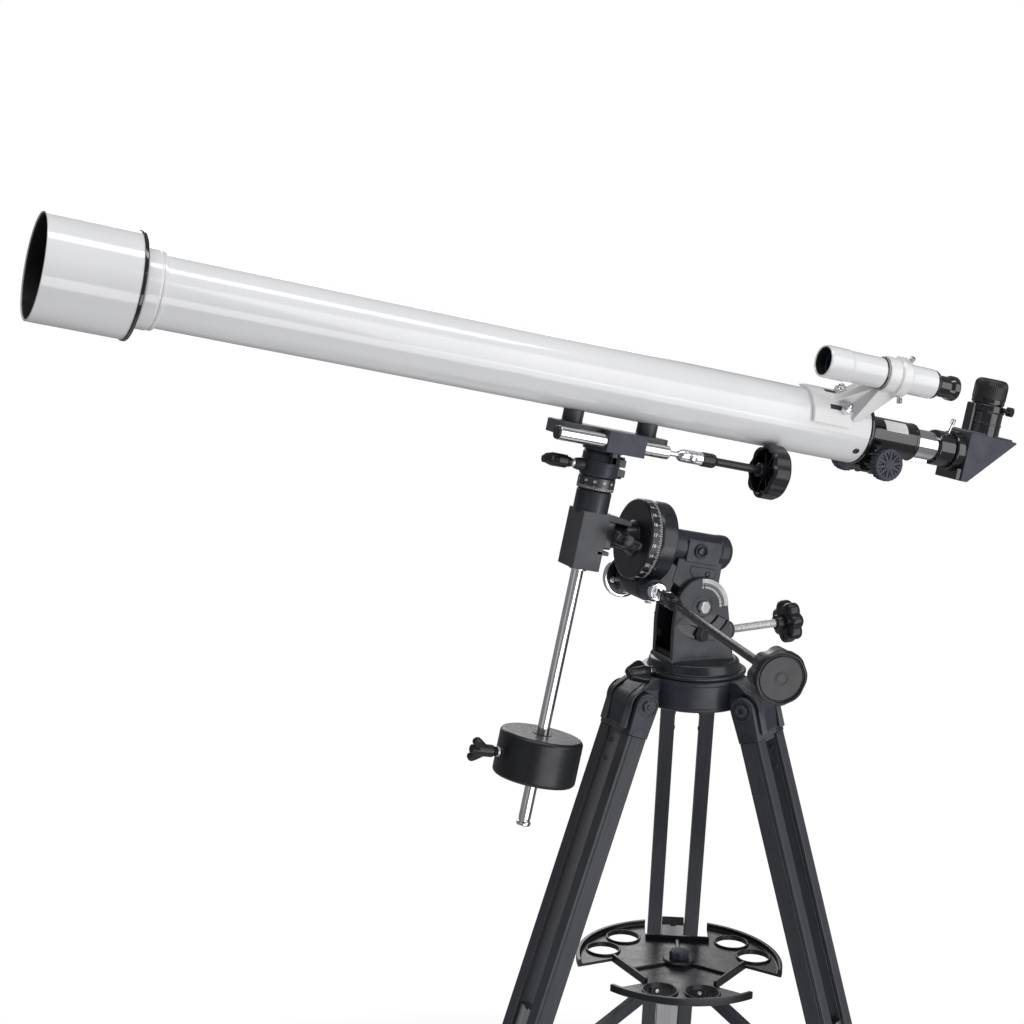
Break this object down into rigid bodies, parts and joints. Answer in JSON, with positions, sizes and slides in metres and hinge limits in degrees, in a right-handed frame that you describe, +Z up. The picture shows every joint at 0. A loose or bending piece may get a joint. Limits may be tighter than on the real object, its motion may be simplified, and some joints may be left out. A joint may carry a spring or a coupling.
{
  "type": "telescope on tripod",
  "caption": "Small white refracting telescope on a German equatorial mount with counterweight, on a folding three-legged tripod with accessory tray.",
  "frame": {"origin": "centre of the bounding box's base, on the floor the three feet stand on", "axes": "+Z up; the tube and the polar axis lie in the XZ plane with the sky end towards -X; +Y to the far side, away from the control knobs"},
  "size_m": [1.0072, 0.6394, 1.2274],
  "materials": {
    "black_paint": "satin",
    "black_plastic": "matte",
    "gloss_black": "gloss",
    "white_paint": "gloss",
    "white_plastic": "gloss",
    "chrome_steel": "polished",
    "zinc_steel": "zinc plated",
    "black_iron": "satin",
    "leg_aluminium": "black anodised",
    "scale_aluminium": "engraved scale",
    "wheel_brass": "machined",
    "foot_rubber": "matte",
    "lens_glass": "coated",
    "mirror_glass": "polished"
  },
  "bodies": {
    "tripod_head": {"tripod_hub": "black_paint"},
    "leg_1": {"leg_1_top_bracket": "black_plastic", "leg_1_rails": "leg_aluminium", "leg_1_clamp": "black_plastic"},
    "leg_1_extension": {"leg_1_inner_leg": "leg_aluminium", "leg_1_foot": "foot_rubber"},
    "leg_1_lock": {"leg_1_clamp_knob": "black_plastic"},
    "leg_1_strut": {"leg_1_brace": "black_paint"},
    "leg_2": {"leg_2_top_bracket": "black_plastic", "leg_2_rails": "leg_aluminium", "leg_2_clamp": "black_plastic"},
    "leg_2_extension": {"leg_2_inner_leg": "leg_aluminium", "leg_2_foot": "foot_rubber"},
    "leg_2_lock": {"leg_2_clamp_knob": "black_plastic"},
    "leg_2_strut": {"leg_2_brace": "black_paint"},
    "leg_3": {"leg_3_top_bracket": "black_plastic", "leg_3_rails": "leg_aluminium", "leg_3_clamp": "black_plastic"},
    "leg_3_extension": {"leg_3_inner_leg": "leg_aluminium", "leg_3_foot": "foot_rubber"},
    "leg_3_lock": {"leg_3_clamp_knob": "black_plastic"},
    "leg_3_strut": {"leg_3_brace": "black_paint"},
    "spreader": {"spreader_hub": "black_plastic", "accessory_tray": "black_plastic"},
    "azimuth_mount": {"azimuth_base": "black_paint", "latitude_bolt": "zinc_steel"},
    "azimuth_lock": {"azimuth_lock_knob": "black_plastic"},
    "polar_head": {"polar_housing": "black_paint"},
    "altitude_rod": {"altitude_screw": "zinc_steel"},
    "altitude_handle": {"altitude_knob": "gloss_black"},
    "ra_wheel": {"ra_worm_wheel": "wheel_brass", "ra_setting_circle": "black_paint"},
    "ra_worm_drive": {"ra_worm": "chrome_steel"},
    "ra_handle": {"ra_control": "black_plastic"},
    "dec_head": {"dec_housing": "black_paint", "counterweight_shaft": "chrome_steel"},
    "ra_clamp": {"ra_clamp_knob": "black_plastic"},
    "dec_clutch": {"dec_clamp_ring": "black_paint", "dec_setting_circle": "scale_aluminium"},
    "dec_clamp": {"dec_clamp_knob": "black_plastic"},
    "optical_tube": {"saddle_plate": "black_paint", "saddle_block": "black_paint", "dec_spring_barrel": "chrome_steel", "main_tube": "white_paint", "lens_cell": "white_plastic", "objective_lens": "lens_glass", "focuser_housing": "gloss_black", "finder_tube": "white_plastic", "finder_lens": "lens_glass", "finder_bracket": "white_plastic"},
    "dec_handle": {"dec_control": "black_plastic"},
    "weight": {"counterweight": "black_iron"},
    "weight_lock": {"counterweight_knob": "black_plastic"},
    "draw": {"draw_tube": "chrome_steel"},
    "focus_pinion": {"focus_knobs": "black_plastic"},
    "diagonal": {"diagonal_body": "gloss_black", "diagonal_mirror": "mirror_glass"},
    "ocular": {"eyepiece": "gloss_black"},
    "finder_focus": {"finder_eyepiece": "gloss_black"},
    "shield": {"dew_shield": "white_plastic"}
  },
  "joints": [
    {"name": "leg_1_fold", "type": "hinge", "parent": "tripod_head", "child": "leg_1", "pos_m": [0.17816, 0.07965, 0.76691], "axis": [-0.9007, 0.4344, 0], "range_deg": [0, 16]},
    {"name": "leg_1_extend", "type": "slide", "parent": "leg_1", "child": "leg_1_extension", "axis": [0.135, 0.2798, -0.9505], "range_m": [-0.165, 0.17]},
    {"name": "leg_1_lock_turn", "type": "hinge", "parent": "leg_1", "child": "leg_1_lock", "pos_m": [0.25617, 0.24138, 0.21751], "axis": [0.4129, 0.8561, 0.3107], "range_deg": [0, 360]},
    {"name": "leg_1_brace_fold", "type": "hinge", "parent": "leg_1", "child": "leg_1_strut", "pos_m": [0.22306, 0.17274, 0.37987], "axis": [-0.9007, 0.4344, 0], "range_deg": [0, 33.6]},
    {"name": "leg_2_fold", "type": "hinge", "parent": "tripod_head", "child": "leg_2", "pos_m": [0.08037, 0.01307, 0.76691], "axis": [0.0741, -0.9973, 0], "range_deg": [0, 16]},
    {"name": "leg_2_extend", "type": "slide", "parent": "leg_2", "child": "leg_2_extension", "axis": [-0.3098, -0.023, -0.9505], "range_m": [-0.165, 0.17]},
    {"name": "leg_2_lock_turn", "type": "hinge", "parent": "leg_2", "child": "leg_2_lock", "pos_m": [-0.09871, -0.00024, 0.21751], "axis": [-0.9479, -0.0704, 0.3107], "range_deg": [0, 360]},
    {"name": "leg_2_brace_fold", "type": "hinge", "parent": "leg_2", "child": "leg_2_strut", "pos_m": [-0.0227, 0.00541, 0.37987], "axis": [0.0741, -0.9973, 0], "range_deg": [0, 33.6]},
    {"name": "leg_3_fold", "type": "hinge", "parent": "tripod_head", "child": "leg_3", "pos_m": [0.18692, -0.03833, 0.76691], "axis": [0.8266, 0.5628, 0], "range_deg": [0, 16]},
    {"name": "leg_3_extend", "type": "slide", "parent": "leg_3", "child": "leg_3_extension", "axis": [0.1748, -0.2568, -0.9505], "range_m": [-0.165, 0.17]},
    {"name": "leg_3_lock_turn", "type": "hinge", "parent": "leg_3", "child": "leg_3_lock", "pos_m": [0.28799, -0.18676, 0.21751], "axis": [0.535, -0.7857, 0.3107], "range_deg": [0, 360]},
    {"name": "leg_3_brace_fold", "type": "hinge", "parent": "leg_3", "child": "leg_3_strut", "pos_m": [0.2451, -0.12376, 0.37987], "axis": [0.8266, 0.5628, 0], "range_deg": [0, 33.6]},
    {"name": "spreader_rise", "type": "slide", "parent": "tripod_head", "child": "spreader", "axis": [0, 0, 1], "range_m": [0, 0.0658]},
    {"name": "azimuth_turn", "type": "hinge", "parent": "tripod_head", "child": "azimuth_mount", "pos_m": [0.14849, 0.01813, 0.79191], "axis": [0, 0, 1], "continuous": true},
    {"name": "azimuth_lock_turn", "type": "hinge", "parent": "azimuth_mount", "child": "azimuth_lock", "pos_m": [0.14849, 0.01813, 0.79691], "axis": [-0.9781, -0.2079, 0], "range_deg": [0, 360]},
    {"name": "latitude_tilt", "type": "hinge", "parent": "azimuth_mount", "child": "polar_head", "pos_m": [0.14308, 0.01813, 0.86011], "axis": [0, 1, 0], "range_deg": [-5, 35]},
    {"name": "altitude_screw_advance", "type": "slide", "parent": "azimuth_mount", "child": "altitude_rod", "axis": [-0.9978, 0, -0.0663], "range_m": [-0.003, 0.0185]},
    {"name": "altitude_knob_turn", "type": "hinge", "parent": "altitude_rod", "child": "altitude_handle", "pos_m": [0.17949, 0.01813, 0.82991], "axis": [-0.9978, 0, -0.0663], "range_deg": [-750, 5220]},
    {"name": "ra_slow_motion", "type": "hinge", "parent": "polar_head", "child": "ra_wheel", "pos_m": [0.15298, 0.01813, 0.91248], "axis": [0.9826, 0, -0.1857], "range_deg": [-15, 15]},
    {"name": "ra_worm_turn", "type": "hinge", "parent": "polar_head", "child": "ra_worm_drive", "pos_m": [0.08407, 0.01813, 0.88174], "axis": [0, 1, 0], "range_deg": [-1810, 1810]},
    {"name": "ra_control_turn", "type": "hinge", "parent": "polar_head", "child": "ra_handle", "pos_m": [0.08429, -0.03187, 0.88017], "axis": [0.1234, 0.9919, 0.0299], "range_deg": [-1810, 1810]},
    {"name": "ra_axis", "type": "hinge", "parent": "ra_wheel", "child": "dec_head", "pos_m": [0.15298, 0.01813, 0.91248], "axis": [0.9826, 0, -0.1857], "range_deg": [-70, 70]},
    {"name": "ra_clamp_turn", "type": "hinge", "parent": "dec_head", "child": "ra_clamp", "pos_m": [0.05374, 0.01813, 0.93123], "axis": [0, -1, 0], "range_deg": [0, 270]},
    {"name": "dec_axis", "type": "hinge", "parent": "dec_head", "child": "dec_clutch", "pos_m": [0.02387, 0.01813, 0.93688], "axis": [0.1857, 0, 0.9826], "continuous": true},
    {"name": "dec_clamp_turn", "type": "hinge", "parent": "dec_clutch", "child": "dec_clamp", "pos_m": [0.03538, 0.01813, 0.9978], "axis": [-0.9826, 0, 0.1857], "range_deg": [0, 270]},
    {"name": "dec_slow_motion", "type": "hinge", "parent": "dec_clutch", "child": "optical_tube", "pos_m": [0.02387, 0.01813, 0.93688], "axis": [0.1857, 0, 0.9826], "range_deg": [-6, 6]},
    {"name": "dec_control_turn", "type": "hinge", "parent": "optical_tube", "child": "dec_handle", "pos_m": [0.04037, -0.00687, 1.02423], "axis": [0.9826, 0, -0.1857], "range_deg": [-950, 950]},
    {"name": "counterweight_slide", "type": "slide", "parent": "dec_head", "child": "weight", "axis": [0.1857, 0, 0.9826], "range_m": [-0.038, 0.155]},
    {"name": "counterweight_lock_turn", "type": "hinge", "parent": "weight", "child": "weight_lock", "pos_m": [-0.01782, 0.01813, 0.71628], "axis": [-0.9826, 0, 0.1857], "range_deg": [0, 360]},
    {"name": "focus_travel", "type": "slide", "parent": "optical_tube", "child": "draw", "axis": [0.9826, 0, -0.1857], "range_m": [-0.02, 0.08]},
    {"name": "focus_knob_turn", "type": "hinge", "parent": "optical_tube", "child": "focus_pinion", "pos_m": [0.33432, 0.01813, 0.99861], "axis": [0, 1, 0], "range_deg": [-770, 195]},
    {"name": "diagonal_turn", "type": "hinge", "parent": "draw", "child": "diagonal", "pos_m": [0.05056, 0.01813, 1.07818], "axis": [0.9826, 0, -0.1857], "continuous": true},
    {"name": "eyepiece_pull", "type": "slide", "parent": "diagonal", "child": "ocular", "axis": [0.1857, 0, 0.9826], "range_m": [0, 0.03]},
    {"name": "finder_eyepiece_focus", "type": "slide", "parent": "optical_tube", "child": "finder_focus", "axis": [0.9826, 0, -0.1857], "range_m": [0, 0.006]},
    {"name": "dew_shield_pull", "type": "slide", "parent": "optical_tube", "child": "shield", "axis": [-0.9826, 0, 0.1857], "range_m": [0, 0.06]}
  ],
  "couplings": [
    {"joint": "leg_1_brace_fold", "follows": "leg_1_fold", "ratio": 2.0678},
    {"joint": "leg_2_fold", "follows": "leg_1_fold", "ratio": 1},
    {"joint": "leg_2_brace_fold", "follows": "leg_1_fold", "ratio": 2.0678},
    {"joint": "leg_3_fold", "follows": "leg_1_fold", "ratio": 1},
    {"joint": "leg_3_brace_fold", "follows": "leg_1_fold", "ratio": 2.0678},
    {"joint": "spreader_rise", "follows": "leg_1_fold", "m_per_rad": 0.234},
    {"joint": "altitude_screw_advance", "follows": "latitude_tilt", "m_per_rad": 0.0296},
    {"joint": "altitude_knob_turn", "follows": "latitude_tilt", "ratio": 148.79},
    {"joint": "ra_worm_turn", "follows": "ra_slow_motion", "ratio": 120},
    {"joint": "ra_control_turn", "follows": "ra_slow_motion", "ratio": 120},
    {"joint": "dec_control_turn", "follows": "dec_slow_motion", "ratio": -157.08},
    {"joint": "focus_knob_turn", "follows": "focus_travel", "rad_per_m": -166.67}
  ]
}
